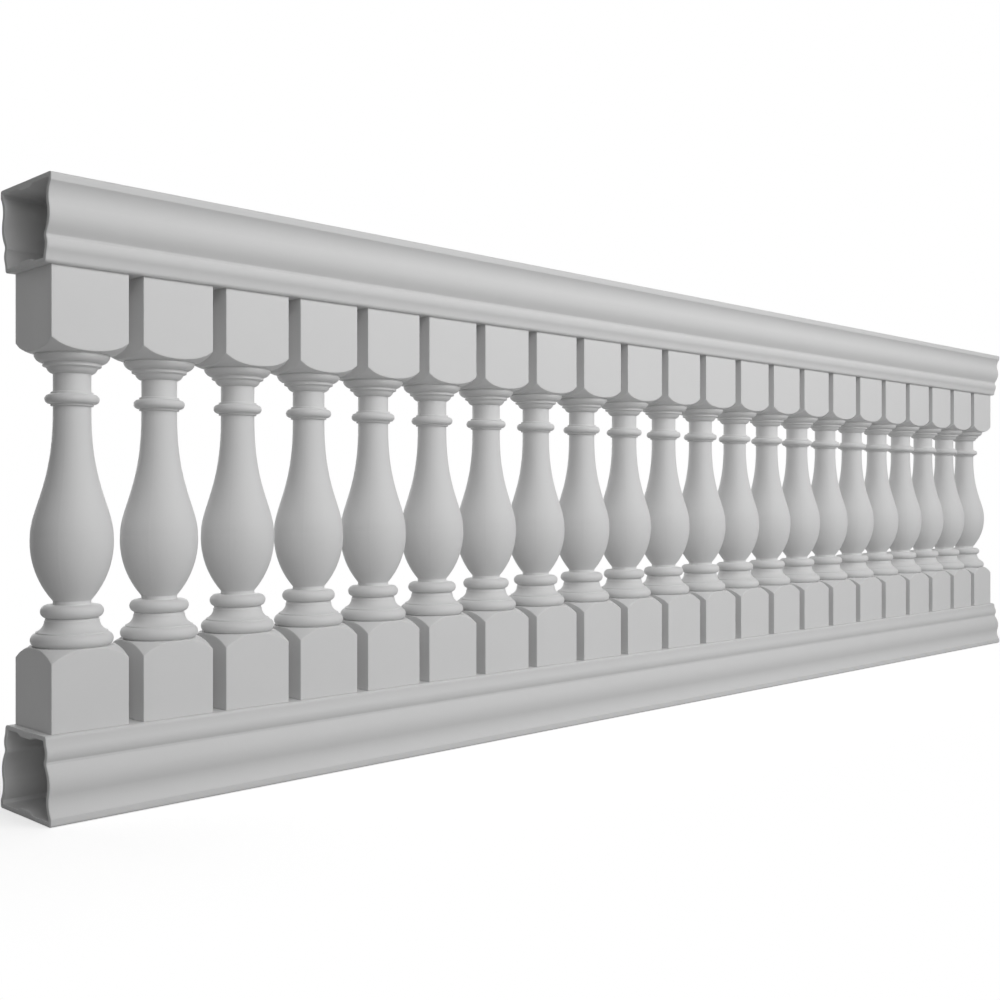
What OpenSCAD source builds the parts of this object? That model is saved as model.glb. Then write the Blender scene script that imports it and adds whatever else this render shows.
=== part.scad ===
// Balustrade section: a row of turned balusters with square end blocks,
// held between two hollow moulded rails. The two rails are one moulding:
// its narrow face meets the balusters, its wide flat faces out.
// Millimetres, +Z up, X along the row. The origin is at the middle of the
// underside, where the wide flat of the bottom rail meets the floor.

/* [Row] */
// Number of balusters
baluster_count = 22; // [2:1:40]
// Clear gap between the square blocks of two neighbours
baluster_gap = 25.4; // [10:0.1:60]
// Rail left past the first and the last block
rail_end_margin = 12.7; // [0:0.1:60]

/* [Baluster] */
// Height of one baluster, end to end
baluster_h = 711.2; // [560:0.1:1000]
// Side of the square blocks
block_w = 127; // [104:0.1:160]
// Length of the top block at its corners
top_block_h = 109.2; // [80:0.1:160]
// Length of the bottom block at its corners
bottom_block_h = 105.8; // [80:0.1:160]
// Radius of the turned shoulder that cuts the top block's end to arches
top_shoulder_r = 55; // [50:0.5:90]
// How far in from the top block's corner the centre of its shoulder lies
top_shoulder_reach = 42; // [36:0.5:48]
// Radius of the turned shoulder that cuts the bottom block's end to arches
bottom_shoulder_r = 100; // [95:1:140]
// How far in from the bottom block's corner the centre of its shoulder lies
bottom_shoulder_reach = 73.5; // [66:0.5:80]

/* [Cap moulding] */
// How far the ring under the top block stands in from the block's faces
cap_inset = 6.2; // [1:0.1:8]
// Height of the straight edge of that ring
cap_edge_h = 1.3; // [1:0.1:8]
// Radius of the quarter-round below the ring
cap_round_r = 16; // [10:0.1:20]
// How far the fillet below the quarter-round stands out from the neck
cap_fillet_out = 15.6; // [13:0.1:17]
// Height of that fillet
cap_fillet_h = 5.4; // [2:0.1:10]
// Height of the slanted face below the fillet
cap_soffit_h = 2.2; // [0.5:0.1:5]
// How far the small round below the fillet stands out from the neck
cap_bead_out = 9.8; // [8.6:0.1:12]
// Radius of the small round's arc
cap_bead_r = 13; // [8:0.1:14.5]

/* [Neck and vase] */
// How deep the neck and the waist are turned in from the block's faces
neck_depth = 34.6; // [33:0.1:42]
// Height of the straight neck above the collar
neck_h = 28.9; // [15:0.1:60]
// How far the vase at its widest stands in from the block's faces
belly_inset = 0.7; // [0.3:0.1:12]
// Height of the widest place, as a share of the vase
belly_at = 0.342; // [0.25:0.005:0.5]
// Straight neck between the collar and the vase
vase_lead_h = 10; // [2:0.1:20]
// Straight waist between the vase and the lower torus
waist_h = 6; // [2:0.1:12]

/* [Collar] */
// How far the centre of the collar's bead stands out from the neck
collar_out = 4.9; // [3.7:0.1:9]
// Bead radius of the collar
collar_bead_r = 7.6; // [5:0.1:10]
// How far the fillets on both sides of the bead stand out from the neck
collar_fillet_out = 3.6; // [1.5:0.1:4.8]
// Height of each of those fillets
collar_fillet_h = 3.4; // [1:0.1:6]

/* [Foot moulding] */
// How far the centre of the torus under the vase stands out from the waist
torus_out = 8.7; // [5:0.1:11]
// Bead radius of that torus
torus_bead_r = 10.4; // [7:0.1:13]
// How far the fillet under the torus stands out from the waist
foot_fillet_out = 11.7; // [9:0.1:13]
// Height of that fillet
foot_fillet_h = 3.5; // [1:0.1:8]
// Ledge between the fillet and the hollow below it
foot_ledge = 1; // [0.5:0.1:3]
// Radius of the hollow
foot_cove_r = 18.4; // [12:0.1:20]
// Sweep of the hollow in degrees
foot_cove_sweep = 73; // [50:1:85]
// Height of the straight edge under the hollow
foot_edge_h = 2.2; // [1:0.1:6]
// How far the base torus on the bottom block stands in from its faces
base_inset = 0.7; // [0.3:0.1:4]
// Bead radius of the base torus
base_bead_r = 11; // [8:0.1:11.5]

/* [Rail] */
// How far the wide flat of the rail stands past the block faces
rail_overhang = 25.4; // [20:0.1:40]
// Height of a rail
rail_h = 133.35; // [120:0.05:170]
// Side wall of the rail
rail_wall = 8.5; // [4:0.1:12]
// Wall of the two flats
flat_wall = 7; // [4:0.1:9]
// Height of the nose beside the wide flat
nose_h = 12; // [10:0.1:18]
// Corner radius of the wide flat
nose_corner_r = 4.5; // [1:0.1:7]
// Radius of the edge where the nose turns into the hollow
nose_edge_r = 3; // [1:0.1:5]
// Radius of the hollow
hollow_r = 36; // [28:0.5:40]
// Angle at which the hollow falls away from the nose
hollow_angle = 38; // [30:1:45]
// Angle at which the hollow swings out into the swelling
swell_angle = 18; // [10:1:25]
// Height from the quirk under the swelling to the narrow face
lip_h = 42.2; // [40.5:0.1:50]
// How far the quirk stands past the block faces
lip_reveal = 9.8; // [8:0.1:14]
// Height of the quirk's bottom
quirk_h = 4.2; // [1:0.1:6]
// Radius of the bead
bead_r = 19; // [15:0.5:21]
// Angle at which the bead leaves the quirk
bead_angle = 35; // [25:1:40]
// Angle at which the bead falls to the lip
bead_fall_angle = 25; // [15:1:27]
// Radius of the slack hollow of the lip
lip_hollow_r = 38; // [20:1:44]
// Angle of the lip where that hollow ends
lip_angle = 7; // [5:0.5:12]
// Corner radius of the lip against the balusters
lip_corner_r = 6.2; // [2:0.1:8]
// Width of the bonded lap strip inside each flat
lap_w = 56; // [30:1:80]
// Extra thickness at the lap strip
lap_rise = 4.6; // [1:0.1:8]
// Width of the strip's feathered edge on each side
lap_feather = 12; // [4:0.1:14]

/* [Hidden] */
pitch = block_w + baluster_gap;
row_l = baluster_count * pitch - baluster_gap;
rail_l = row_l + 2 * rail_end_margin;
rail_half = block_w / 2 + rail_overhang;
lip_half = block_w / 2 + lip_reveal;
total_h = baluster_h + 2 * rail_h;
fibreglass = "gainsboro";

function baluster_name(i) = str("baluster_", i < 10 ? "0" : "", i);

// ---- Curves -------------------------------------------------------------

// Points on an arc about c, from angle a to angle b, in n steps.
function arc(c, r, a, b, n) =
    [for (i = [0 : n]) c + r * [cos(a + (b - a) * i / n), sin(a + (b - a) * i / n)]];

// Points on a bend that goes on from point p in n steps, leaving p out. Its
// direction turns from a to b, in degrees from upright and outwards, and r is
// its radius, negative where it turns inwards.
function bend(p, r, a, b, n) =
    [for (i = [1 : n]) let (t = a + (b - a) * i / n) p + r * [cos(a) - cos(t), sin(t) - sin(a)]];

// Points on a cubic curve that goes on from point p to point s in n steps,
// leaving p out, with handles q and t.
function curve(p, q, t, s, n) =
    [for (i = [1 : n]) let (u = i / n, v = 1 - u)
        v * v * v * p + 3 * v * v * u * q + 3 * v * u * u * t + u * u * u * s];

// The last point of an outline.
function last(points) = points[len(points) - 1];

// A list of outlines, one after the other.
function chain(parts) = [for (part = parts) for (p = part) p];

// ---- Baluster -----------------------------------------------------------

corner_r = block_w / sqrt(2);

// How far the centre of a shoulder's arc lies behind the block's corners.
function shoulder_back(r, reach) = sqrt(pow(r, 2) - pow(reach, 2));

// How far a shoulder stands beyond the block's corners, at a distance from the axis.
function shoulder_drop(at, r, reach) =
    sqrt(pow(r, 2) - pow(at - corner_r + reach, 2)) - shoulder_back(r, reach);

// Angle on a shoulder's arc, at a distance from the axis, from its own centre.
function shoulder_angle(at, r, reach) = acos((at - corner_r + reach) / r);

// Radii of the members. The widest are set in from the block's faces and
// the others stand out from the neck, so that all of them follow the block.
neck_r = block_w / 2 - neck_depth;
belly_r = block_w / 2 - belly_inset;
cap_r = block_w / 2 - cap_inset;
cap_fillet_r = neck_r + cap_fillet_out;
cap_bead_start = 15;
cap_bead_c = neck_r + cap_bead_out - cap_bead_r * cos(cap_bead_start);
collar_r = neck_r + collar_out;
collar_fillet_r = neck_r + collar_fillet_out;
torus_r = neck_r + torus_out;
foot_fillet_r = neck_r + foot_fillet_out;
foot_cove_c = foot_fillet_r + foot_ledge + foot_cove_r;
foot_edge_r = foot_cove_c - foot_cove_r * cos(foot_cove_sweep);
base_r = block_w / 2 - base_inset - base_bead_r;

// Heights of the members above the baluster's lower end.
top_corner = baluster_h - top_block_h;
cap_crease_r = cap_r - 3.3;
cap_crease_h = 1.6;
cap_top = top_corner - shoulder_drop(cap_crease_r, top_shoulder_r, top_shoulder_reach) - cap_crease_h;
cap_round_start = 18;
cap_round_end = 71;
cap_round_c = cap_r - cap_round_r * cos(cap_round_start);
cap_round_z = cap_top - cap_edge_h + cap_round_r * sin(cap_round_start);
cap_fillet_top = cap_round_z - cap_round_r * sin(cap_round_end);
cap_fillet_bottom = cap_fillet_top - cap_fillet_h;
cap_bead_end = 72;
cap_bead_z = cap_fillet_bottom - cap_soffit_h + cap_bead_r * sin(cap_bead_start);
cap_bead_bottom = cap_bead_z - cap_bead_r * sin(cap_bead_end);
collar_top = cap_bead_bottom - neck_h;
collar_z = collar_top - collar_fillet_h - collar_bead_r;
collar_bottom = collar_z - collar_bead_r - collar_fillet_h;

base_crease_angle = 70;
base_lip_r = block_w / 2 + 1;
base_lip_z = bottom_block_h + shoulder_drop(base_lip_r, bottom_shoulder_r, bottom_shoulder_reach);
base_rise = 9.6;
base_z = base_lip_z + base_rise;
base_top_angle = acos(min(1, (foot_edge_r - base_r) / base_bead_r));
foot_edge_bottom = base_z + base_bead_r * sin(base_top_angle);
foot_cove_z = foot_edge_bottom + foot_edge_h + foot_cove_r * sin(foot_cove_sweep);
foot_fillet_top = foot_cove_z + foot_fillet_h;
torus_z = foot_fillet_top + torus_bead_r;
waist_bottom = torus_z + torus_bead_r;
waist_top = waist_bottom + waist_h;
vase_top = collar_bottom - vase_lead_h;
belly_z = waist_bottom + belly_at * (collar_bottom - waist_bottom);

// The vase is two cubic curves that meet at its widest. Their handles are
// shares of each curve's height and, for the last, of the bulge.
vase_side_h = vase_top - belly_z;
vase_neck_pull = 0.59;
vase_belly_pull = 0.23;
vase_side = curve([neck_r, vase_top], [neck_r, vase_top - vase_neck_pull * vase_side_h],
                  [belly_r, belly_z + vase_belly_pull * vase_side_h], [belly_r, belly_z], 16);
vase_base_h = belly_z - waist_top;
vase_base_pull = 0.03;
vase_waist_pull = 0.46;
vase_waist_bulge = 1.16;
vase_base = curve([belly_r, belly_z], [belly_r, belly_z - vase_base_pull * vase_base_h],
                  [neck_r + vase_waist_bulge * (belly_r - neck_r),
                   waist_top + vase_waist_pull * vase_base_h],
                  [neck_r, waist_top], 14);

// Turned outline, from the axis at the top end to the axis at the lower end.
turned_outline = chain([
    [[0, baluster_h], [corner_r, baluster_h]],
    arc([corner_r - top_shoulder_reach, top_corner + shoulder_back(top_shoulder_r, top_shoulder_reach)],
        top_shoulder_r, -shoulder_angle(corner_r, top_shoulder_r, top_shoulder_reach),
        -shoulder_angle(cap_crease_r, top_shoulder_r, top_shoulder_reach), 10),
    [[cap_r, cap_top]],
    arc([cap_round_c, cap_round_z], cap_round_r, -cap_round_start, -cap_round_end, 6),
    [[cap_fillet_r, cap_fillet_top], [cap_fillet_r, cap_fillet_bottom]],
    arc([cap_bead_c, cap_bead_z], cap_bead_r, -cap_bead_start, -cap_bead_end, 6),
    [[neck_r, cap_bead_bottom], [neck_r, collar_top],
     [collar_fillet_r, collar_top], [collar_fillet_r, collar_top - collar_fillet_h]],
    arc([collar_r, collar_z], collar_bead_r, 90, -90, 10),
    [[collar_fillet_r, collar_bottom + collar_fillet_h], [collar_fillet_r, collar_bottom],
     [neck_r, collar_bottom]],
    [[neck_r, vase_top]],
    vase_side,
    vase_base,
    [[neck_r, waist_bottom]],
    arc([torus_r, torus_z], torus_bead_r, 90, -90, 12),
    [[foot_fillet_r, foot_fillet_top], [foot_fillet_r, foot_cove_z]],
    arc([foot_cove_c, foot_cove_z], foot_cove_r, 180, 180 + foot_cove_sweep, 8),
    arc([base_r, base_z], base_bead_r, base_top_angle, -base_crease_angle, 11),
    arc([corner_r - bottom_shoulder_reach,
         bottom_block_h - shoulder_back(bottom_shoulder_r, bottom_shoulder_reach)],
        bottom_shoulder_r, shoulder_angle(base_lip_r, bottom_shoulder_r, bottom_shoulder_reach),
        shoulder_angle(corner_r, bottom_shoulder_r, bottom_shoulder_reach), 8),
    [[corner_r, 0], [0, 0]]
]);

// One baluster: the turned form, trimmed to the square of its blocks.
module baluster(i) {
    x = (i - 1) * pitch - row_l / 2 + block_w / 2;
    color(fibreglass)
        translate([x, 0, rail_h])
            intersection() {
                rotate_extrude($fn = 96) polygon(turned_outline);
                translate([-block_w / 2, -block_w / 2, 0])
                    cube([block_w, block_w, baluster_h]);
            }
}

// ---- Rail ---------------------------------------------------------------

// One side of the moulding, as half-width and height above the wide flat,
// runs from the nose to the lip. The swelling fills what the others leave,
// and its handles are shares of its height.
nose_edge = bend([rail_half, nose_h], -nose_edge_r, 0, -hollow_angle, 4);
hollow = bend(last(nose_edge), hollow_r, -hollow_angle, swell_angle, 14);
quirk = [lip_half, rail_h - lip_h];
swell_h = quirk[1] - last(hollow)[1];
swell_pull = 0.58 * swell_h;
quirk_pull = 0.17 * swell_h;
quirk_angle = 23;
swelling = curve(last(hollow), last(hollow) + swell_pull * [sin(swell_angle), cos(swell_angle)],
                 quirk + quirk_pull * [sin(quirk_angle), -cos(quirk_angle)], quirk, 14);
bead_start = quirk + [0, quirk_h];
bead = bend(bead_start, -bead_r, bead_angle, -bead_fall_angle, 10);
lip_hollow = bend(last(bead), lip_hollow_r, -bead_fall_angle, -lip_angle, 5);
moulding = chain([[[rail_half, nose_h]], nose_edge, hollow, swelling, [bead_start], bead, lip_hollow]);

// The outside from the wide flat's corner to the lip's corner.
lip_end = last(lip_hollow);
lip_corner_z = rail_h - lip_corner_r * (1 - sin(lip_angle));
lip_corner_start = lip_end + (lip_corner_z - lip_end[1]) * [-tan(lip_angle), 1];
outer_side = chain([
    arc([rail_half - nose_corner_r, nose_corner_r], nose_corner_r, -90, 0, 5),
    moulding,
    [lip_corner_start],
    bend(lip_corner_start, -lip_corner_r, -lip_angle, -90, 5)
]);

// The inside, with a lap strip along the middle of each flat.
lap_flat = lap_w / 2 - lap_feather;
inner_corner = 2;
inner_half = rail_half - rail_wall;
inner_low = flat_wall + inner_corner;
inner_high = rail_h - flat_wall - inner_corner;
inner_moulding = [for (p = moulding) if (p[1] > inner_low && p[1] < inner_high) p - [rail_wall, 0]];
inner_side = chain([
    [[lap_flat, flat_wall + lap_rise], [lap_w / 2, flat_wall],
     [inner_half - inner_corner, flat_wall], [inner_half, inner_low]],
    inner_moulding,
    [[last(inner_moulding)[0] - inner_corner, rail_h - flat_wall], [lap_w / 2, rail_h - flat_wall],
     [lap_flat, rail_h - flat_wall - lap_rise]]
]);

// A side and its mirror image as one closed outline.
function both_sides(side) = concat(side, [for (i = [len(side) - 1 : -1 : 0]) [-side[i][0], side[i][1]]]);

// Section of the rail, wide flat at zero, narrow face at rail_h.
module rail_section() {
    difference() {
        polygon(both_sides(outer_side));
        polygon(both_sides(inner_side));
    }
}

module rail() {
    translate([-rail_l / 2, 0, 0])
        rotate([90, 0, 90])
            linear_extrude(rail_l) rail_section();
}

module bottom_rail() {
    color(fibreglass) rail();
}

module top_rail() {
    color(fibreglass)
        translate([0, 0, total_h]) mirror([0, 0, 1]) rail();
}

bottom_rail();
for (i = [1 : baluster_count])
    baluster(i);
top_rail();
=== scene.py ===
"""Fibreglass balustrade section: two hollow moulded rails and a row of turned balusters."""

import math

import bpy
import numpy as np
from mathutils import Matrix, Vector


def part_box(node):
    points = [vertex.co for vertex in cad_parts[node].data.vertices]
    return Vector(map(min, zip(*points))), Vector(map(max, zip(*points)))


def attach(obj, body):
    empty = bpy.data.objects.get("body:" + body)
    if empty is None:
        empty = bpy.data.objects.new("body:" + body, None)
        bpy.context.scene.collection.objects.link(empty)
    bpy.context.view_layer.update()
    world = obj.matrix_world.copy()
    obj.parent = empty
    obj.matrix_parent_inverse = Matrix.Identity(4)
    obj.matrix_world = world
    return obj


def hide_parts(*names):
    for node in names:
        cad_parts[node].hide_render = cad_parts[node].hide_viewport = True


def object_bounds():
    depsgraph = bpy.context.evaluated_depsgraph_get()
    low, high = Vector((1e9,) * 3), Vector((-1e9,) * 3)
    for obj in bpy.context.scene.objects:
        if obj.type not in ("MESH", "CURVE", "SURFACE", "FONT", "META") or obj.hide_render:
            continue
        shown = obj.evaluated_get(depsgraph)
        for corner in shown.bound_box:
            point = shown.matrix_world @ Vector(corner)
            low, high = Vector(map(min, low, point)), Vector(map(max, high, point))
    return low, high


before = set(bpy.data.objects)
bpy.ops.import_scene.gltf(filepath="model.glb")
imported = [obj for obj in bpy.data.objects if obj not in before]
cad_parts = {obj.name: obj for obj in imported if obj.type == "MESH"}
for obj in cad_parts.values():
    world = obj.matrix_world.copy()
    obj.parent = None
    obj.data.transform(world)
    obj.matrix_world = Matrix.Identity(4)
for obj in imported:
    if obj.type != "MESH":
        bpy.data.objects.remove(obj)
cad_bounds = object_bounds()


# ---- Camera ---------------------------------------------------------------
# A level camera at half the height of the balustrade, past its left end and in
# front of it, turned by 45 degrees so that the row runs off to the right.

MM = 0.001
PAST_LEFT_END = 821 * MM
IN_FRONT = 1853.2 * MM

low, high = (np.array(corner) for corner in cad_bounds)
row_middle = (low + high) / 2
camera_data = bpy.data.cameras.new("camera")
camera_data.sensor_width = 36.0
camera_data.lens = 44.31
camera_data.shift_y = -0.0007
camera = bpy.data.objects.new("camera", camera_data)
camera.location = (low[0] - PAST_LEFT_END, row_middle[1] - IN_FRONT, row_middle[2])
camera.rotation_euler = (math.radians(90), 0, math.radians(-45))
bpy.context.scene.collection.objects.link(camera)
bpy.context.scene.camera = camera


# ---- Studio ---------------------------------------------------------------
# A pale floor that keeps the object's shadow, a white backdrop, two wide soft
# lamps in front and one behind. None of it is part of the object.

AMBIENT = 0.10
FLOOR_REACH = 30.0
FLOOR_DROP = 0.5 * MM
FLOOR_FADE = 0.6
SEEN_FLOOR = 0.7
SEEN_GLOW = 0.6
DULL_FLOOR = 0.54
LAMPS_AIM = Vector((0.0, 0.0, 0.5))


def add_node(tree, kind, inputs=None, **settings):
    """Adds one node to a tree. Each input is a constant or the output socket that feeds it."""
    made = tree.nodes.new(kind)
    for name, value in settings.items():
        setattr(made, name, value)
    for name, value in (inputs or {}).items():
        if isinstance(value, bpy.types.NodeSocket):
            tree.links.new(value, made.inputs[name])
        else:
            made.inputs[name].default_value = value
    return made


def grey(level):
    """A neutral colour of one linear level."""
    return (level, level, level, 1.0)


def seen_directly(tree):
    """1 on camera, mirror and see-through rays and 0 on those that carry soft light: the largest of the marks
    of the three kinds of ray."""
    rays = add_node(tree, "ShaderNodeLightPath").outputs
    either = add_node(tree, "ShaderNodeMath", {0: rays["Is Camera Ray"], 1: rays["Is Glossy Ray"]},
                      operation="MAXIMUM").outputs[0]
    return add_node(tree, "ShaderNodeMath", {0: either, 1: rays["Is Transmission Ray"]},
                    operation="MAXIMUM").outputs[0]


world = bpy.data.worlds.new("studio")
bpy.context.scene.world = world
world.use_nodes = True
sky = world.node_tree
sky.nodes.clear()
soft = add_node(sky, "ShaderNodeBackground", {"Color": grey(1.0), "Strength": AMBIENT})
white = add_node(sky, "ShaderNodeBackground", {"Color": grey(1.0), "Strength": 1.0})
backdrop = add_node(sky, "ShaderNodeMixShader", {0: seen_directly(sky), 1: soft.outputs[0],
                                                 2: white.outputs[0]})
add_node(sky, "ShaderNodeOutputWorld", {"Surface": backdrop.outputs[0]})


def empty_material(name):
    """A material whose node tree has no nodes yet."""
    material = bpy.data.materials.new(name)
    material.use_nodes = True
    material.node_tree.nodes.clear()
    return material


floor_corners = np.array([(-1, -1), (1, -1), (1, 1), (-1, 1)]) * FLOOR_REACH
floor_mesh = bpy.data.meshes.new("floor")
floor_mesh.from_pydata([(x, y, -FLOOR_DROP) for x, y in floor_corners.tolist()], [], [(0, 1, 2, 3)])
floor = bpy.data.objects.new("floor", floor_mesh)
bpy.context.scene.collection.objects.link(floor)

# Matt studio paint. Seen directly it is bright, keeps the row's shadow and fades to a plain white
# away from the row. For the soft light that it sends back up, it is a duller grey.
floor_paint = empty_material("floor_paint")
tree = floor_paint.node_tree
spot = add_node(tree, "ShaderNodeTexCoord").outputs["Object"]
mirrored = add_node(tree, "ShaderNodeVectorMath", {0: spot}, operation="ABSOLUTE").outputs["Vector"]
past_row = add_node(tree, "ShaderNodeVectorMath", {0: mirrored, 1: (high[0], high[1], 0)},
                    operation="SUBTRACT").outputs["Vector"]
outside = add_node(tree, "ShaderNodeVectorMath", {0: past_row, 1: (0, 0, 0)},
                   operation="MAXIMUM").outputs["Vector"]
away = add_node(tree, "ShaderNodeVectorMath", {0: outside}, operation="LENGTH").outputs["Value"]
fade = add_node(tree, "ShaderNodeMapRange", {"Value": away, "From Min": 0.0, "From Max": FLOOR_FADE},
                interpolation_type="SMOOTHSTEP")
lit = add_node(tree, "ShaderNodeBsdfDiffuse", {"Color": grey(SEEN_FLOOR)})
glow = add_node(tree, "ShaderNodeEmission", {"Color": grey(1.0), "Strength": SEEN_GLOW})
bright = add_node(tree, "ShaderNodeAddShader", {0: lit.outputs[0], 1: glow.outputs[0]})
blank = add_node(tree, "ShaderNodeEmission", {"Color": grey(1.0), "Strength": 1.0})
shown = add_node(tree, "ShaderNodeMixShader", {0: fade.outputs["Result"], 1: bright.outputs[0],
                                               2: blank.outputs[0]})
dull = add_node(tree, "ShaderNodeBsdfDiffuse", {"Color": grey(DULL_FLOOR)})
floor_mix = add_node(tree, "ShaderNodeMixShader", {0: seen_directly(tree), 1: dull.outputs[0],
                                                   2: shown.outputs[0]})
add_node(tree, "ShaderNodeOutputMaterial", {"Surface": floor_mix.outputs[0]})
floor_mesh.materials.append(floor_paint)


def add_softbox(name, place, width, height, watts):
    """A rectangular lamp at a place, turned so that it faces the point that all of them aim at."""
    data = bpy.data.lights.new(name, "AREA")
    data.shape = "RECTANGLE"
    data.size = width
    data.size_y = height
    data.energy = watts
    lamp = bpy.data.objects.new(name, data)
    lamp.location = place
    lamp.rotation_euler = (LAMPS_AIM - Vector(place)).to_track_quat("-Z", "Y").to_euler()
    bpy.context.scene.collection.objects.link(lamp)


add_softbox("front_softbox", (0.0, -3.2, 2.0), 8.0, 2.4, 68)
add_softbox("high_softbox", (0.0, -2.8, 2.6), 5.0, 1.6, 56)
add_softbox("back_softbox", (0.0, 3.4, 1.3), 5.0, 1.6, 55)


# ---- Bottom rail ----------------------------------------------------------
# A hollow fibreglass moulding, laid up in two halves that are bonded along a
# lap strip inside each flat. It lies on its wide flat, carries the balusters on
# its narrow face, and its ends are sawn square and left open.

# The side, from the wide flat up: a rounded nose, a hollow, a swelling, a quirk, a bead, and a lip that ends
# in the narrow face. Angles are in degrees from upright.
NOSE_H = 12.0
NOSE_CORNER_R = 4.5
NOSE_EDGE_R = 3.0
HOLLOW_R = 36.0
HOLLOW_ANGLE = 38
SWELL_ANGLE = 18
SWELL_PULL = 0.58
QUIRK_ANGLE = 23
QUIRK_PULL = 0.17
QUIRK_H = 4.2
SOFT_QUIRK = 0.7
BEAD_R = 19.0
BEAD_ANGLE = 35
BEAD_FALL_ANGLE = 25
LIP_H = 42.2
LIP_HALF = 73.3
LIP_HOLLOW_R = 38.0
LIP_ANGLE = 7
LIP_CORNER_R = 6.2

# The flats and the laminate inside them: walls, inner corners, and the lap strip with its feathered edge.
FLAT_END = 60.0
RAIL_WALL = 8.5
FLAT_WALL = 7.0
INNER_CORNER_R = 2.0
LAP_HALF = 28.0
LAP_FEATHER = 12.0
LAP_RISE = 4.6


def box_size(node_name):
    """Width across the row and height of a CAD node's box, in millimetres to a hundredth."""
    box_low, box_high = (np.array(corner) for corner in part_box(node_name))
    return np.round((box_high - box_low)[1:] / MM, 2)


def arc(centre, radius, start, end, steps):
    """Points on a circle's arc between two angles in degrees: the centre, and the radius times the angle's
    cosine and sine."""
    turn = np.radians(np.linspace(start, end, steps + 1))
    return np.array(centre) + radius * np.stack([np.cos(turn), np.sin(turn)], 1)


def bend(start, radius, lead, leave, steps):
    """Points that go on from start along a circle, whose direction turns from lead to leave: the radius times
    what the angle's cosine has lost, and times what its sine has gained. Angles are in degrees from upright,
    positive outwards, and a negative radius turns the circle's hollow inwards."""
    turn = np.radians(np.linspace(lead, leave, steps + 1)[1:])
    first = math.radians(lead)
    step = np.stack([math.cos(first) - np.cos(turn), np.sin(turn) - math.sin(first)], 1)
    return np.array(start) + radius * step


def heading(degrees):
    """The unit step in a direction given in degrees from upright, positive outwards: its sine and its cosine."""
    return np.array([math.sin(math.radians(degrees)), math.cos(math.radians(degrees))])


def curve(start, leave, arrive, end, steps):
    """Points on a cubic curve from start to end, pulled by the handles leave and arrive: the four points,
    weighted by the terms of (s + t) cubed, where s is 1 - t."""
    t = np.linspace(0, 1, steps + 1)[:, None]
    s = 1 - t
    points = s**3 * np.array(start) + 3 * s**2 * t * np.array(leave)
    return points + 3 * s * t**2 * np.array(arrive) + t**3 * np.array(end)


def soften(outline, edge, steps=3, least_turn=20):
    """Rounds each sharp corner of an outline by a parabola that starts and ends one edge away from it, or 0.45
    of a side where the side is short. A corner is sharp where it turns by more than least_turn degrees."""
    before, here, after = outline[:-2], outline[1:-1], outline[2:]
    back, on = before - here, after - here
    back_l = np.linalg.norm(back, axis=1, keepdims=True)
    on_l = np.linalg.norm(on, axis=1, keepdims=True)
    turn = np.degrees(np.arccos(np.clip(-(back * on).sum(1) / (back_l * on_l)[:, 0], -1, 1)))
    start = here + back / back_l * np.minimum(edge, 0.45 * back_l)
    end = here + on / on_l * np.minimum(edge, 0.45 * on_l)
    t = np.linspace(0, 1, steps + 1)[None, :, None]
    bent = (1 - t) ** 2 * start[:, None] + 2 * t * (1 - t) * here[:, None] + t**2 * end[:, None]
    sharp = turn > least_turn
    bent = np.where(sharp[:, None, None], bent, here[:, None])
    keep = sharp[:, None] | (np.arange(steps + 1) == 0)
    return np.concatenate([outline[:1], bent[keep], outline[-1:]])


# The side of the moulding, as half-width and height above the wide flat, from the nose to the lip.
rail_w, rail_h = box_size("bottom_rail")
rail_half = rail_w / 2
nose_edge = bend((rail_half, NOSE_H), -NOSE_EDGE_R, 0, -HOLLOW_ANGLE, 6)
hollow = bend(nose_edge[-1], HOLLOW_R, -HOLLOW_ANGLE, SWELL_ANGLE, 18)
quirk = np.array([LIP_HALF, rail_h - LIP_H])
swell_h = quirk[1] - hollow[-1, 1]
swelling = curve(hollow[-1], hollow[-1] + SWELL_PULL * swell_h * heading(SWELL_ANGLE),
                 quirk - QUIRK_PULL * swell_h * heading(-QUIRK_ANGLE), quirk, 18)
bead_start = quirk + [0, QUIRK_H]
bead = bend(bead_start, -BEAD_R, BEAD_ANGLE, -BEAD_FALL_ANGLE, 14)
lip_hollow = bend(bead[-1], LIP_HOLLOW_R, -BEAD_FALL_ANGLE, -LIP_ANGLE, 6)
side = soften(np.concatenate([
    [[rail_half, NOSE_H]],
    nose_edge,
    hollow,
    swelling[1:],
    [bead_start],
    bead,
    lip_hollow,
]), SOFT_QUIRK, least_turn=15)

# Half of the outside, from the middle of the wide flat to the middle of the narrow face. It has as many
# points as half of the inside, so that the sawn face can join them one to one.
lip_fall = heading(-LIP_ANGLE)
lip_corner_z = rail_h - LIP_CORNER_R * (1 - math.sin(math.radians(LIP_ANGLE)))
lip_corner_start = lip_hollow[-1] + (lip_corner_z - lip_hollow[-1, 1]) * lip_fall / lip_fall[1]
flat = np.array([[0, 0], [LAP_HALF / 2, 0], [LAP_HALF, 0], [FLAT_END, 0]])
outer = np.concatenate([
    flat,
    arc((rail_half - NOSE_CORNER_R, NOSE_CORNER_R), NOSE_CORNER_R, -90, 0, 7),
    side,
    [lip_corner_start],
    bend(lip_corner_start, -LIP_CORNER_R, -LIP_ANGLE, -90, 7),
    (flat + [0, rail_h])[::-1],
])

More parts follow.
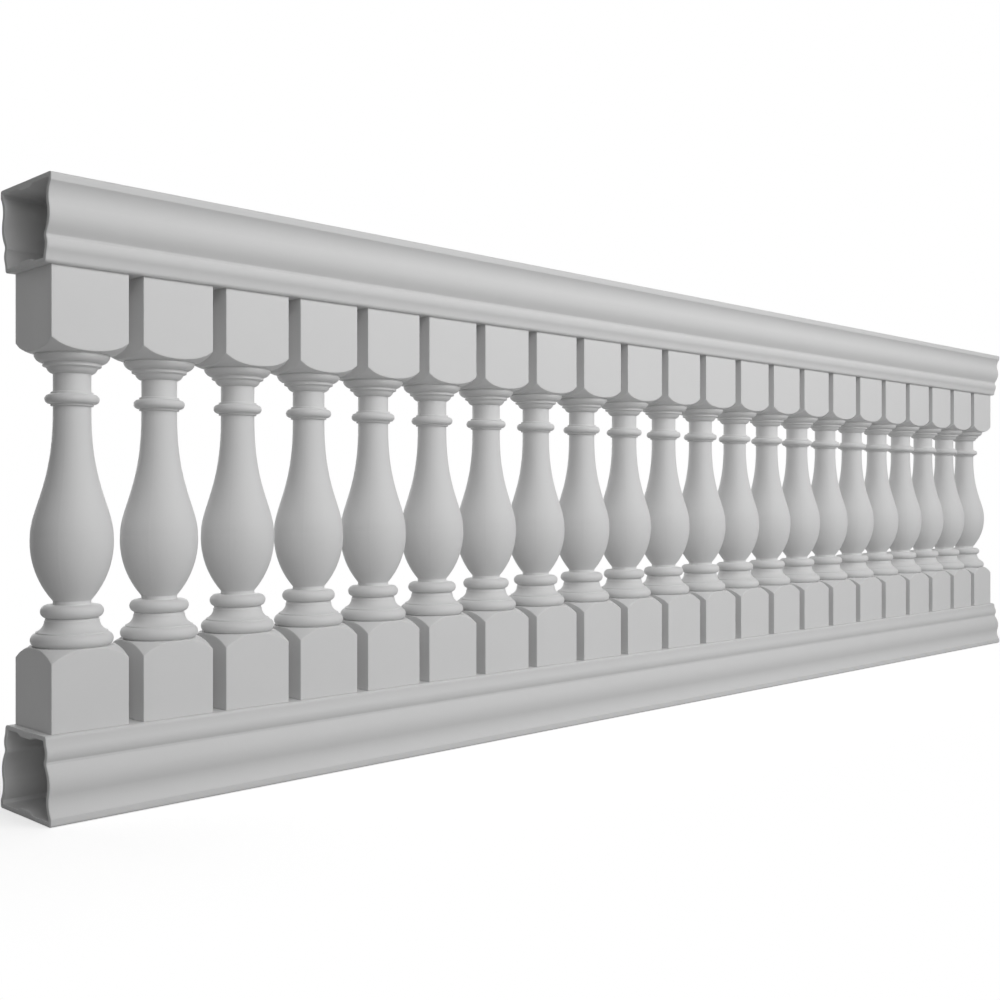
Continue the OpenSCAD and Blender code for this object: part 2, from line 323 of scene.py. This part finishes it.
# The inside follows the side at the wall's distance, up to its own small corners.
inner_half = rail_half - RAIL_WALL
inner_low = FLAT_WALL + INNER_CORNER_R
inner_high = rail_h - inner_low
inner_side = np.stack([side[:, 0] - RAIL_WALL, np.minimum(side[:, 1], inner_high)], 1)
lap_top = FLAT_WALL + LAP_RISE
lap = np.array([[0, lap_top], [LAP_HALF - LAP_FEATHER, lap_top], [LAP_HALF, FLAT_WALL],
                [FLAT_END, FLAT_WALL]])
inner = np.concatenate([
    lap,
    arc((inner_half - INNER_CORNER_R, inner_low), INNER_CORNER_R, -90, 0, 7),
    inner_side,
    arc((inner_side[-1, 0] - INNER_CORNER_R, inner_high), INNER_CORNER_R, 0, 90, 8)[1:],
    (lap * [1, -1] + [0, rail_h])[::-1],
])


def whole_outline(half_outline):
    """Closes half an outline with its mirror image, leaving out the two points on the middle."""
    return np.concatenate([half_outline, half_outline[-2:0:-1] * [-1, 1]])


outer_ring = whole_outline(outer)
inner_ring = whole_outline(inner)


def linear(code):
    """The linear colour of an sRGB hex code: a share of the code when dark, a power of it when lighter."""
    value = np.array([int(code[i:i + 2], 16) for i in (1, 3, 5)]) / 255
    value = np.where(value <= 0.04045, value / 12.92, ((value + 0.055) / 1.055) ** 2.4)
    return (*value.tolist(), 1.0)


def waves_per_metre(size_mm):
    """Scale of a noise whose lumps are size_mm across: how many of them a metre holds."""
    return 1 / MM / size_mm


# The colour sockets of a Mix node, by number, because its other sockets have the same names.
MIX_A, MIX_B, MIX_RESULT = 6, 7, 2

# How far the roughness of a sprayed coat strays from its mean.
ROUGH_SPREAD = 0.05


def primed_fibreglass(name, light, dark, rough):
    """Primer on gelcoat: cloudy colour between light and dark, and two bumps. One is the orange peel, whose
    lumps are 1 to 2 mm across and are drawn at 5 mm, so that they show at all. The other is the slow wave of a
    thin moulding."""
    material = empty_material(name)
    tree = material.node_tree
    place = add_node(tree, "ShaderNodeTexCoord").outputs["Object"]
    clouds = add_node(tree, "ShaderNodeTexNoise", {"Vector": place, "Scale": waves_per_metre(90), "Detail": 5.0,
                                                   "Roughness": 0.6})
    tint = add_node(tree, "ShaderNodeMix", {"Factor": clouds.outputs["Fac"], MIX_A: linear(dark),
                                            MIX_B: linear(light)}, data_type="RGBA")
    sheen = add_node(tree, "ShaderNodeMapRange", {"Value": clouds.outputs["Fac"], "From Min": 0.3,
                                                  "From Max": 0.7, "To Min": rough - ROUGH_SPREAD,
                                                  "To Max": rough + ROUGH_SPREAD})
    peel = add_node(tree, "ShaderNodeTexNoise", {"Vector": place, "Scale": waves_per_metre(5), "Detail": 3.0,
                                                 "Roughness": 0.5})
    peel_bump = add_node(tree, "ShaderNodeBump", {"Height": peel.outputs["Fac"], "Strength": 0.12,
                                                  "Distance": 0.4 * MM})
    wave = add_node(tree, "ShaderNodeTexNoise", {"Vector": place, "Scale": waves_per_metre(70),
                                                 "Detail": 1.0})
    wave_bump = add_node(tree, "ShaderNodeBump", {"Height": wave.outputs["Fac"], "Strength": 0.25,
                                                  "Distance": 1 * MM, "Normal": peel_bump.outputs["Normal"]})
    paint = add_node(tree, "ShaderNodeBsdfPrincipled", {"Base Color": tint.outputs[MIX_RESULT],
                                                        "Roughness": sheen.outputs["Result"], "IOR": 1.5,
                                                        "Specular IOR Level": 0.3,
                                                        "Normal": wave_bump.outputs["Normal"]})
    add_node(tree, "ShaderNodeOutputMaterial", {"Surface": paint.outputs[0]})
    return material


def sawn_laminate(name, light, dark):
    """The cut through glass mat and resin: fibre specks between light and dark, and upright saw marks as bump,
    drawn ten times as tall as they are wide."""
    material = empty_material(name)
    tree = material.node_tree
    place = add_node(tree, "ShaderNodeTexCoord").outputs["Object"]
    specks = add_node(tree, "ShaderNodeTexNoise", {"Vector": place, "Scale": waves_per_metre(2.5),
                                                   "Detail": 4.0, "Roughness": 0.7})
    tint = add_node(tree, "ShaderNodeMix", {"Factor": specks.outputs["Fac"], MIX_A: linear(dark),
                                            MIX_B: linear(light)}, data_type="RGBA")
    upright = add_node(tree, "ShaderNodeMapping", {"Vector": place, "Scale": (1.0, 1.0, 0.1)})
    marks = add_node(tree, "ShaderNodeTexNoise", {"Vector": upright.outputs["Vector"],
                                                  "Scale": waves_per_metre(3), "Detail": 2.0})
    mark_bump = add_node(tree, "ShaderNodeBump", {"Height": marks.outputs["Fac"], "Strength": 0.3,
                                                  "Distance": 0.5 * MM})
    cut = add_node(tree, "ShaderNodeBsdfPrincipled", {"Base Color": tint.outputs[MIX_RESULT], "Roughness": 0.85,
                                                      "Specular IOR Level": 0.2,
                                                      "Normal": mark_bump.outputs["Normal"]})
    add_node(tree, "ShaderNodeOutputMaterial", {"Surface": cut.outputs[0]})
    return material


# Outside, moulded gelcoat under sprayed primer gives a dull, even skin with broad soft highlights. The raw
# inside is resin over glass mat and rougher. Its colour is made lighter than the primer's: painted light that
# stands in for the light inside the hollow rail. The sawn ends show the cut mat, chalky and with hardly any
# gloss.
rail_primer = primed_fibreglass("rail_primer", "#D8D8D8", "#D3D3D3", 0.6)
# Painted light: the inside is coloured lighter than the outside, to lift the shade in the rail's hollow.
laminate_and_painted_light = primed_fibreglass("raw_laminate_and_painted_light", "#E8E8E8", "#DFDFDF", 0.72)
sawn = sawn_laminate("sawn_laminate", "#ECECEC", "#D8D8D8")
PRIMED, RAW, SAWN = 0, 1, 2

# Rows of the grid: along the rail, a first one close to each end and then even spans, and across the sawn
# face, shares of the way from the outside in. A narrow arris at each rim of that face falls back in two steps.
SAWN_SHARES = np.array([0.02, 0.07, 0.93, 0.98])
SAWN_ARRIS = 0.7 * MM
ARRIS_DROP = 0.3
FIRST_ROW = 4 * MM
RAIL_SPANS = 8


def make_mesh(name, points, quads, caps=()):
    """A smooth mesh from points and quads, and each cap a closing polygon given by its corner indices."""
    mesh = bpy.data.meshes.new(name)
    mesh.from_pydata(points.reshape(-1, 3).tolist(), [], quads.tolist() + [cap.tolist() for cap in caps])
    mesh.validate()
    mesh.shade_smooth()
    piece = bpy.data.objects.new(name, mesh)
    bpy.context.scene.collection.objects.link(piece)
    return piece


def add_rail(node_name, wide_flat_z, up):
    """A rail as a grid that closes both ways: along the outside, over the sawn end, back inside and over the
    other end. Each row is the outer outline, moved its share of the way to the inner one. Heights are counted
    from the wide flat, upwards where up is 1 and downwards where it is -1."""
    box_low, box_high = (np.array(corner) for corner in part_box(node_name))
    length = box_high[0] - box_low[0]
    spans = np.linspace(0, 1, RAIL_SPANS + 1)[1:-1] * length
    run_x = np.concatenate([[SAWN_ARRIS, FIRST_ROW], spans, [length - FIRST_ROW, length - SAWN_ARRIS]])
    end_x = length - SAWN_ARRIS * np.array([ARRIS_DROP, 0, 0, ARRIS_DROP])
    along = np.concatenate([run_x, end_x, run_x[::-1], length - end_x])
    share = np.concatenate([np.zeros(len(run_x)), SAWN_SHARES, np.ones(len(run_x)), SAWN_SHARES[::-1]])
    ring = outer_ring[:, None] * (1 - share)[None, :, None] + inner_ring[:, None] * share[None, :, None]
    count, steps = len(outer_ring), len(along)
    points = np.empty((count, steps, 3))
    points[..., 0] = box_low[0] + along
    points[..., 1] = ring[..., 0] * MM
    points[..., 2] = wide_flat_z + up * ring[..., 1] * MM
    index = np.arange(count * steps).reshape(count, steps)
    across = np.roll(index, -1, 0)
    quads = np.stack([index, across, np.roll(across, -1, 1), np.roll(index, -1, 1)], -1)
    if up > 0:
        quads = quads[..., ::-1]
    piece = make_mesh(node_name + "_moulding", points, quads.reshape(-1, 4))
    for finish in (rail_primer, laminate_and_painted_light, sawn):
        piece.data.materials.append(finish)
    middle_share = (share + np.roll(share, -1)) / 2
    finish_of_row = np.select([middle_share > 0.995, middle_share > 0.025], [RAW, SAWN], PRIMED)
    piece.data.polygons.foreach_set("material_index", np.tile(finish_of_row, count).astype(np.int32))
    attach(piece, "root")
    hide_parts(node_name)


add_rail("bottom_rail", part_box("bottom_rail")[0][2], 1)


# ---- Balusters ------------------------------------------------------------
# Each baluster is one fibreglass moulding, laid up in a turned mould and bonded
# between the rails: a square block at each end, with its inner end cut to arches
# by the turned shoulder, and cap, collar, vase and foot mouldings between them.

# The blocks. A shoulder is its arc's radius, and how far in from the block's corners the arc's centre lies.
TOP_BLOCK_H = 109.2
BOTTOM_BLOCK_H = 105.8
TOP_SHOULDER = (55.0, 42.0)
BOTTOM_SHOULDER = (100.0, 73.5)
CORNER_R = 0.9
SOFT_EDGE = 0.9

# The cap: a ring under the block, a quarter-round, a fillet, a slanted soffit and a small bead. Resin fills the
# crease between the block and the ring.
CAP_INSET = 6.2
CREASE_IN = 3.3
CREASE_H = 1.6
CREASE_FILL = 1.5
CAP_EDGE_H = 1.3
CAP_ROUND_R = 16.0
CAP_ROUND_START = 18
CAP_ROUND_END = 71
CAP_FILLET_OUT = 15.6
CAP_FILLET_H = 5.4
CAP_SOFFIT_H = 2.2
CAP_BEAD_OUT = 9.8
CAP_BEAD_R = 13.0
CAP_BEAD_START = 15
CAP_BEAD_END = 72

# The neck, the collar's bead between its two fillets, the vase and the waist.
NECK_DEPTH = 34.6
NECK_H = 28.9
COLLAR_OUT = 4.9
COLLAR_BEAD_R = 7.6
COLLAR_FILLET_OUT = 3.6
COLLAR_FILLET_H = 3.4
VASE_LEAD_H = 10.0
BELLY_INSET = 0.7
BELLY_AT = 0.342
VASE_NECK_PULL = 0.59
VASE_BELLY_PULL = 0.23
VASE_BASE_PULL = 0.03
VASE_WAIST_PULL = 0.46
VASE_WAIST_BULGE = 1.16
WAIST_H = 6.0

# The foot: a torus, a fillet, a hollow, a straight edge and the base's bead, which creases against a low cone
# on the block. The cone ends in a lip just outside the block's faces.
TORUS_OUT = 8.7
TORUS_BEAD_R = 10.4
FOOT_FILLET_OUT = 11.7
FOOT_FILLET_H = 3.5
FOOT_LEDGE = 1.0
FOOT_COVE_R = 18.4
FOOT_COVE_SWEEP = 73
FOOT_EDGE_H = 2.2
BASE_INSET = 0.7
BASE_BEAD_R = 11.0
BASE_BEAD_LEAD = 8
BASE_CREASE_ANGLE = 70
BASE_RISE = 9.6
BASE_LIP_OUT = 1.0

block_w, baluster_h = box_size("baluster_01")
block_half = block_w / 2
block_corner = block_w / math.sqrt(2)


def shoulder_drop(r, shoulder):
    """How far a turned shoulder at radius r stands past the block's corners: the height of its arc there, less
    the height of the same arc at the corners."""
    radius, reach = shoulder
    return np.sqrt(radius**2 - (r - block_corner + reach) ** 2) - math.sqrt(radius**2 - reach**2)


def top_end(r):
    """Height of the top block's turned end at radius r: the shoulder's arc."""
    return baluster_h - TOP_BLOCK_H - shoulder_drop(r, TOP_SHOULDER)


def arc_from(point, radius, start, end, steps):
    """Points on a circle's arc between two angles in degrees, placed so that the first is the given point: the
    centre is the point less the radius times the first angle's cosine and sine."""
    first = math.radians(start)
    centre = np.array(point) - radius * np.array([math.cos(first), math.sin(first)])
    return arc(centre, radius, start, end, steps)


# Radii of the members. The widest are set in from the block's faces, the others stand out from the neck.
neck_r = block_half - NECK_DEPTH
belly_r = block_half - BELLY_INSET
cap_r = block_half - CAP_INSET
cap_fillet_r = neck_r + CAP_FILLET_OUT
collar_fillet_r = neck_r + COLLAR_FILLET_OUT
foot_fillet_r = neck_r + FOOT_FILLET_OUT
foot_cove_r = foot_fillet_r + FOOT_LEDGE + FOOT_COVE_R
foot_edge_r = foot_cove_r - FOOT_COVE_R * math.cos(math.radians(FOOT_COVE_SWEEP))
base_r = block_half - BASE_INSET - BASE_BEAD_R
base_lip_r = block_half + BASE_LIP_OUT

# Heights of the members above the baluster's lower end: down from the top block, then up from the bottom one.
cap_top = top_end(cap_r - CREASE_IN) - CREASE_H
cap_round = arc_from((cap_r, cap_top - CAP_EDGE_H), CAP_ROUND_R, -CAP_ROUND_START, -CAP_ROUND_END, 9)
cap_fillet_top = cap_round[-1, 1]
cap_fillet_bottom = cap_fillet_top - CAP_FILLET_H
cap_bead = arc_from((neck_r + CAP_BEAD_OUT, cap_fillet_bottom - CAP_SOFFIT_H), CAP_BEAD_R, -CAP_BEAD_START,
                    -CAP_BEAD_END, 9)
neck_top = cap_bead[-1, 1]
collar_top = neck_top - NECK_H
collar_z = collar_top - COLLAR_FILLET_H - COLLAR_BEAD_R
collar_bottom = collar_z - COLLAR_BEAD_R - COLLAR_FILLET_H
base_lip_z = BOTTOM_BLOCK_H + shoulder_drop(base_lip_r, BOTTOM_SHOULDER)
base_z = base_lip_z + BASE_RISE
base_top_angle = math.degrees(math.acos((foot_edge_r - base_r) / BASE_BEAD_R))
foot_edge_bottom = base_z + BASE_BEAD_R * math.sin(math.radians(base_top_angle))
foot_cove_z = foot_edge_bottom + FOOT_EDGE_H + FOOT_COVE_R * math.sin(math.radians(FOOT_COVE_SWEEP))
foot_fillet_top = foot_cove_z + FOOT_FILLET_H
torus_z = foot_fillet_top + TORUS_BEAD_R
waist_bottom = torus_z + TORUS_BEAD_R
waist_top = waist_bottom + WAIST_H
vase_top = collar_bottom - VASE_LEAD_H
belly_z = waist_bottom + BELLY_AT * (collar_bottom - waist_bottom)

# The vase is two cubic curves that meet at its belly. Their handles are shares of each curve's height, and the
# lowest handle stands out by a multiple of the belly's bulge.
vase_side_h = vase_top - belly_z
vase_base_h = belly_z - waist_top
vase_side = curve((neck_r, vase_top), (neck_r, vase_top - VASE_NECK_PULL * vase_side_h),
                  (belly_r, belly_z + VASE_BELLY_PULL * vase_side_h), (belly_r, belly_z), 22)
vase_base = curve((belly_r, belly_z), (belly_r, belly_z - VASE_BASE_PULL * vase_base_h),
                  (neck_r + VASE_WAIST_BULGE * (belly_r - neck_r),
                   waist_top + VASE_WAIST_PULL * vase_base_h), (neck_r, waist_top), 18)

# The turned stack between the blocks, from the cap down, as radius and height.
turned = soften(np.concatenate([
    [[cap_r - CREASE_FILL, top_end(cap_r - CREASE_FILL)], [cap_r, cap_top]],
    cap_round,
    [[cap_fillet_r, cap_fillet_top], [cap_fillet_r, cap_fillet_bottom]],
    cap_bead,
    [[neck_r, neck_top], [neck_r, collar_top]],
    [[collar_fillet_r, collar_top], [collar_fillet_r, collar_top - COLLAR_FILLET_H]],
    arc((neck_r + COLLAR_OUT, collar_z), COLLAR_BEAD_R, 90, -90, 12),
    [[collar_fillet_r, collar_bottom + COLLAR_FILLET_H], [collar_fillet_r, collar_bottom]],
    [[neck_r, collar_bottom]],
    vase_side,
    vase_base[1:],
    [[neck_r, waist_bottom]],
    arc((neck_r + TORUS_OUT, torus_z), TORUS_BEAD_R, 90, -90, 14),
    [[foot_fillet_r, foot_fillet_top], [foot_fillet_r, foot_cove_z]],
    arc((foot_cove_r, foot_cove_z), FOOT_COVE_R, 180, 180 + FOOT_COVE_SWEEP, 9),
    [[foot_edge_r, foot_edge_bottom]],
    arc((base_r, base_z), BASE_BEAD_R, base_top_angle - BASE_BEAD_LEAD, -BASE_CREASE_ANGLE, 13),
]), SOFT_EDGE)
crease_r, crease_z = turned[-1]


def bottom_end(r):
    """Height of the bottom block's turned end at radius r: a shallow cone from the crease under the base's bead
    out to a lip, and the shoulder's arc from there."""
    cone = crease_z + (base_lip_z - crease_z) * (r - crease_r) / (base_lip_r - crease_r)
    return np.where(r < base_lip_r, cone, BOTTOM_BLOCK_H + shoulder_drop(r, BOTTOM_SHOULDER))


# Directions of the grid's columns: even on each face of the block, closer at its rounded corners.
FACE_COLUMNS = 16
CORNER_COLUMNS = 4
face_turn = math.atan((block_half - CORNER_R) / block_half)
on_face = np.linspace(-face_turn, face_turn, FACE_COLUMNS + 1)[:-1]
on_corner = arc((block_half - CORNER_R, block_half - CORNER_R), CORNER_R, 0, 90, CORNER_COLUMNS)[:-1]
quarter_x = np.concatenate([np.full(FACE_COLUMNS, block_half), on_corner[:, 0]])
quarter_y = np.concatenate([block_half * np.tan(on_face), on_corner[:, 1]])
quarter_turn = np.arctan2(quarter_y, quarter_x)
column_turn = (quarter_turn + np.radians([[0], [90], [180], [270]])).ravel()
block_r = np.tile(np.hypot(quarter_x, quarter_y), 4)

# Rows of a block, as shares: from the stack to the lip, from there to the arris, and along the upright side.
# The arris and the rim are rounded in three steps each. Where the lip would pass the arris, it stops short.
TO_LIP = np.array([0, 0.06, 0.5, 0.94])[:, None]
PAST_LIP = np.array([0, 0.03, 0.1, 0.2, 0.3, 0.4, 0.5, 0.6, 0.7, 0.8, 0.9, 1])[:, None]
ALONG_SIDE = np.array([0.03, 0.35, 0.7, 0.985])[:, None]
ON_ARRIS = np.linspace(0, 1, 4)[1:, None]
ROUND_RIM = np.radians([0, 30, 60, 90])[:, None]
LIP_LIMIT = 0.8


def block_rows(inner_r, lip_r, turned_end, end_z, sign):
    """Rows of one end block, from the turned stack out to the block's end. The turned end meets the block's
    upright side in each column where the radius reaches the square's outline. The arris there is a parabola, and
    the rim at the block's end a quarter circle."""
    arris_z = turned_end(block_r)
    outer_r = block_r - SOFT_EDGE
    lip = np.minimum(lip_r, inner_r + LIP_LIMIT * (outer_r - inner_r))
    shoulder = np.concatenate([inner_r + (lip - inner_r) * TO_LIP, lip + (outer_r - lip) * PAST_LIP])
    shoulder_z = turned_end(shoulder)
    side_start = arris_z - sign * SOFT_EDGE
    t, s = ON_ARRIS, 1 - ON_ARRIS
    arris_r = s**2 * shoulder[-1] + (1 - s**2) * block_r
    arris = s**2 * shoulder_z[-1] + 2 * t * s * arris_z + t**2 * side_start
    side_z = side_start + (end_z + sign * SOFT_EDGE - side_start) * ALONG_SIDE
    rim_r = block_r - SOFT_EDGE * (1 - np.cos(ROUND_RIM))
    rim_z = end_z + sign * SOFT_EDGE * (1 - np.sin(ROUND_RIM)) * np.ones_like(block_r)
    radius = np.concatenate([shoulder, arris_r, np.broadcast_to(block_r, side_z.shape), rim_r])
    height = np.concatenate([shoulder_z, arris, side_z, rim_z])
    return radius, height


top_r, top_z = block_rows(turned[0, 0], cap_r, top_end, baluster_h, -1)
bottom_r, bottom_z = block_rows(crease_r, base_lip_r, bottom_end, 0.0, 1)
stack = np.repeat(turned[1:-1, :, None], len(column_turn), 2)
grid_r = np.concatenate([top_r[::-1], stack[:, 0], bottom_r])
grid_z = np.concatenate([top_z[::-1], stack[:, 1], bottom_z])
baluster_points = np.stack([grid_r * np.cos(column_turn), grid_r * np.sin(column_turn), grid_z], -1) * MM


def grid_faces(rows, columns):
    """Quads of a grid whose columns close on themselves, facing out where the rows run down."""
    index = np.arange(rows * columns).reshape(rows, columns)
    right = np.roll(index, -1, 1)
    return np.stack([index[:-1], index[1:], right[1:], right[:-1]], -1).reshape(-1, 4)


rows, columns = grid_r.shape
baluster_faces = grid_faces(rows, columns)
top_cap = np.arange(columns)
bottom_cap = top_cap[::-1] + (rows - 1) * columns

# The same sprayed primer as on the rails, a shade lighter.
primer = primed_fibreglass("baluster_primer", "#DFDFDF", "#DADADA", 0.6)

for node_name in sorted(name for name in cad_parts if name.startswith("baluster_")):
    box_low, box_high = (np.array(corner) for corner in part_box(node_name))
    foot = np.append((box_low + box_high)[:2] / 2, box_low[2])
    piece = make_mesh(node_name + "_moulding", baluster_points + foot, baluster_faces,
                      [top_cap, bottom_cap])
    piece.data.materials.append(primer)
    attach(piece, "root")
    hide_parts(node_name)


# ---- Top rail -------------------------------------------------------------
# The bottom rail's moulding again, turned over: its narrow face is bonded to
# the balusters' tops, and its wide flat is the handrail.

add_rail("top_rail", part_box("top_rail")[1][2], -1)


# ---- View -----------------------------------------------------------------
# Colours are shown as rendered, through the standard view transform.

bpy.context.scene.view_settings.view_transform = "Standard"
